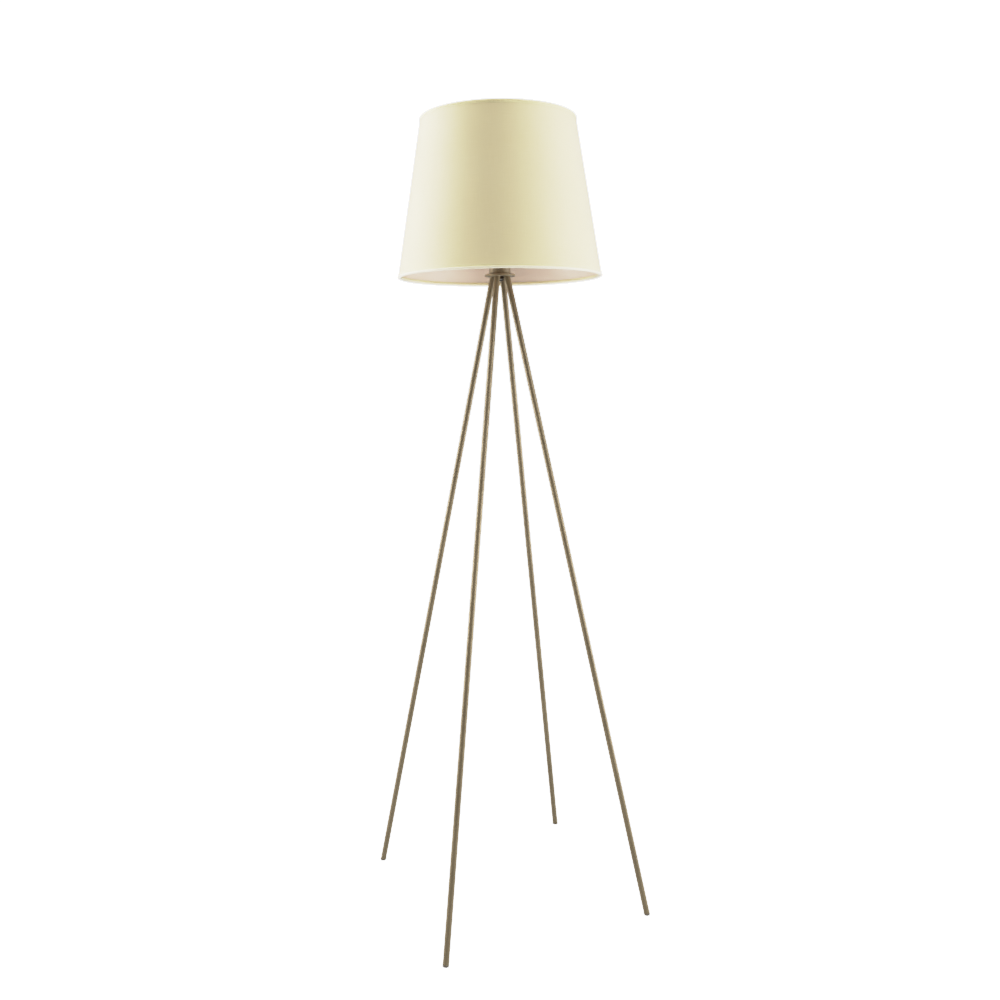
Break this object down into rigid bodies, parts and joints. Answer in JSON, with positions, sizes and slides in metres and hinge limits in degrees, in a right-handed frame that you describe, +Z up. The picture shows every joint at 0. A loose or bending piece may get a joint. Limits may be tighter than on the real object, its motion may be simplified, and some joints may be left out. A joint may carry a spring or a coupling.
{
  "type": "floor lamp",
  "caption": "Floor lamp with thin straight splayed legs meeting at a small round hub, a screw-cap lampholder with bulb, and a large tapered drum fabric shade.",
  "frame": {"origin": "on the floor, on the vertical axis of the lamp, which is also the centre of its footprint", "axes": "+Z up along the lamp axis; the legs stand on the diagonals between X and Y"},
  "size_m": [0.4444, 0.4444, 1.58],
  "materials": {
    "antique_gold_paint": "satin antique gold lacquer, slightly mottled, on steel",
    "black_plastic": "fine matt moulded plastic",
    "brown_plastic": "brown moulded plastic",
    "bronzed_steel": "dark bronzed finish on turned steel",
    "zinc_steel": "bright zinc plate",
    "contact_ceramic": "unglazed steatite",
    "contact_brass": "bare pressed brass",
    "shade_fabric": "ivory plain-weave textile bonded to the liner",
    "shade_hem": "ivory textile folded over the edge wires",
    "shade_liner": "satin translucent lining sheet",
    "white_wire": "white powder coat on steel wire",
    "opal_plastic": "satin opal diffuser",
    "bulb_white_plastic": "smooth white moulding",
    "nickel_plate": "nickel plate",
    "cap_glass": "black glass",
    "heat_aluminium": "bare sheet",
    "circuit_board": "green board"
  },
  "bodies": {
    "stand": {"leg_tube_1": "antique_gold_paint", "leg_tube_2": "antique_gold_paint", "leg_tube_3": "antique_gold_paint", "leg_tube_4": "antique_gold_paint", "leg_stub_1": "antique_gold_paint", "leg_stub_2": "antique_gold_paint", "leg_stub_3": "antique_gold_paint", "leg_stub_4": "antique_gold_paint", "hub_disc": "antique_gold_paint", "holder_cup": "antique_gold_paint", "foot_cap_1": "brown_plastic", "foot_cap_2": "brown_plastic", "foot_cap_3": "brown_plastic", "foot_cap_4": "brown_plastic", "nipple_bush": "black_plastic", "holder_base_cap": "black_plastic", "holder_shell": "black_plastic", "shade_ring_lower": "black_plastic", "lock_washer": "bronzed_steel", "lock_nut": "bronzed_steel", "leg_insert_1": "zinc_steel", "leg_insert_2": "zinc_steel", "leg_insert_3": "zinc_steel", "leg_insert_4": "zinc_steel", "wire_nipple": "zinc_steel", "nipple_lock_screw": "zinc_steel", "terminal_screws": "zinc_steel", "holder_insulator": "contact_ceramic", "live_terminal": "contact_brass", "neutral_terminal": "contact_brass", "centre_contact": "contact_brass", "screw_shell": "contact_brass"},
    "shade": {"shade_fabric": "shade_fabric", "shade_liner": "shade_liner", "top_hem": "shade_hem", "bottom_hem": "shade_hem", "bottom_wire_ring": "white_wire", "top_wire_ring": "white_wire", "fitter_ring": "white_wire", "fitter_spoke_1": "white_wire", "fitter_spoke_2": "white_wire", "fitter_spoke_3": "white_wire"},
    "ring_nut": {"shade_ring_upper": "black_plastic"},
    "bulb_tip": {"bulb_tip_contact": "nickel_plate"},
    "bulb": {"bulb_globe": "opal_plastic", "bulb_housing": "bulb_white_plastic", "bulb_screw_cap": "nickel_plate", "bulb_cap_insulator": "cap_glass", "led_plate": "heat_aluminium", "led_driver": "circuit_board"}
  },
  "joints": [
    {"name": "shade_turn", "type": "hinge", "parent": "stand", "child": "shade", "pos_m": [0, 0, 1.331], "axis": [0, 0, 1], "continuous": true},
    {"name": "shade_ring_turn", "type": "hinge", "parent": "stand", "child": "ring_nut", "pos_m": [0, 0, 1.335], "axis": [0, 0, 1], "range_deg": [0, 90]},
    {"name": "bulb_rise", "type": "slide", "parent": "stand", "child": "bulb_tip", "axis": [0, 0, 1], "range_m": [0, 0.01456]},
    {"name": "bulb_turn", "type": "hinge", "parent": "bulb_tip", "child": "bulb", "pos_m": [0, 0, 1.34], "axis": [0, 0, 1], "range_deg": [0, 1440]}
  ],
  "couplings": [
    {"joint": "bulb_rise", "follows": "bulb_turn", "m_per_rad": 0.00057757}
  ]
}
